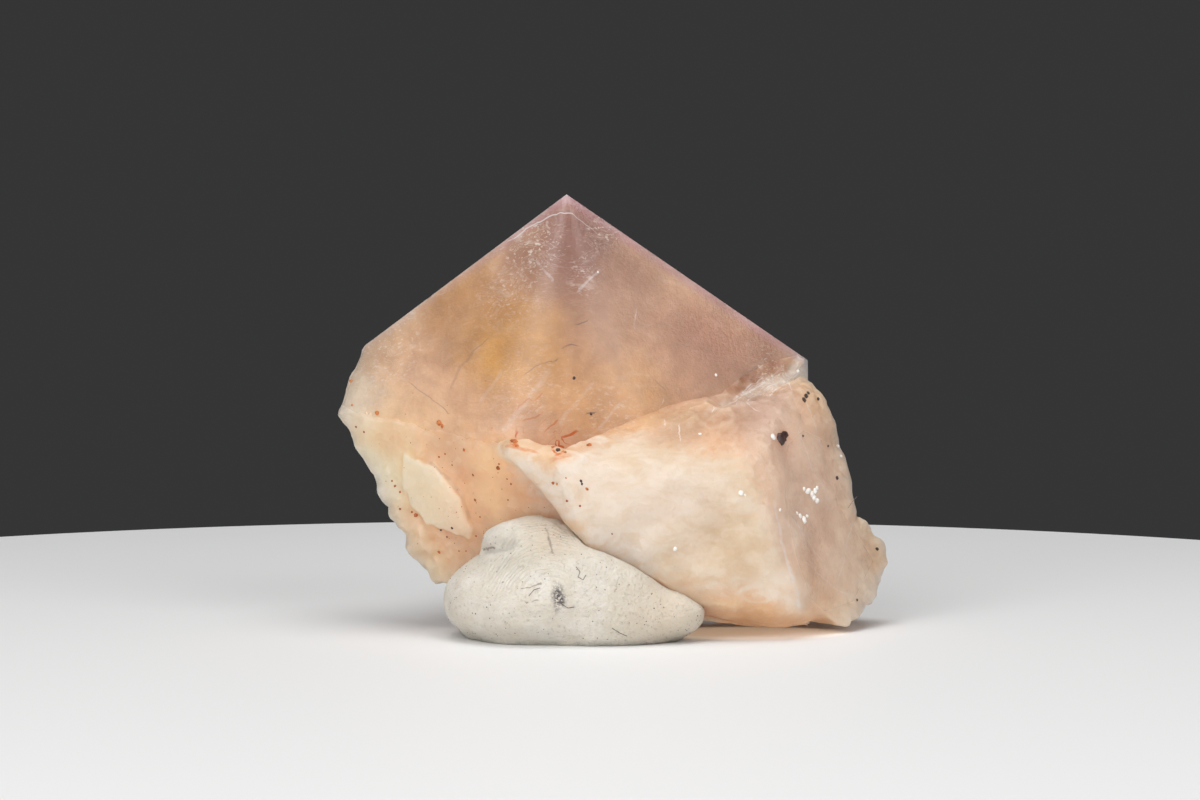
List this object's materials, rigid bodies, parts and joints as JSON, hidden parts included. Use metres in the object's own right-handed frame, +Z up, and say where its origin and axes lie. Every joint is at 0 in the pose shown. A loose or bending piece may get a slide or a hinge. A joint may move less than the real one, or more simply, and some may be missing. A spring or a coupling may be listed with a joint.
{
  "type": "fluorite specimen",
  "caption": "Cloudy peach fluorite crystal with a clean octahedral point and broken, frosted lower faces, propped upright on a pressed lump of off-white putty for display.",
  "frame": {"origin": "under the middle of the specimen's bounding box, on the surface that the putty stands on", "axes": "+X to the right as seen from the clean front faces, +Y away from that viewer, +Z up through the point"},
  "size_m": [0.0562, 0.0362, 0.0439],
  "materials": {
    "fluorite": "cloudy, polished-looking growth faces and frosted breaks",
    "putty": "matte, fingerprinted and a little dirty"
  },
  "bodies": {
    "root": {"crystal": "fluorite", "putty": "putty"}
  },
  "joints": []
}
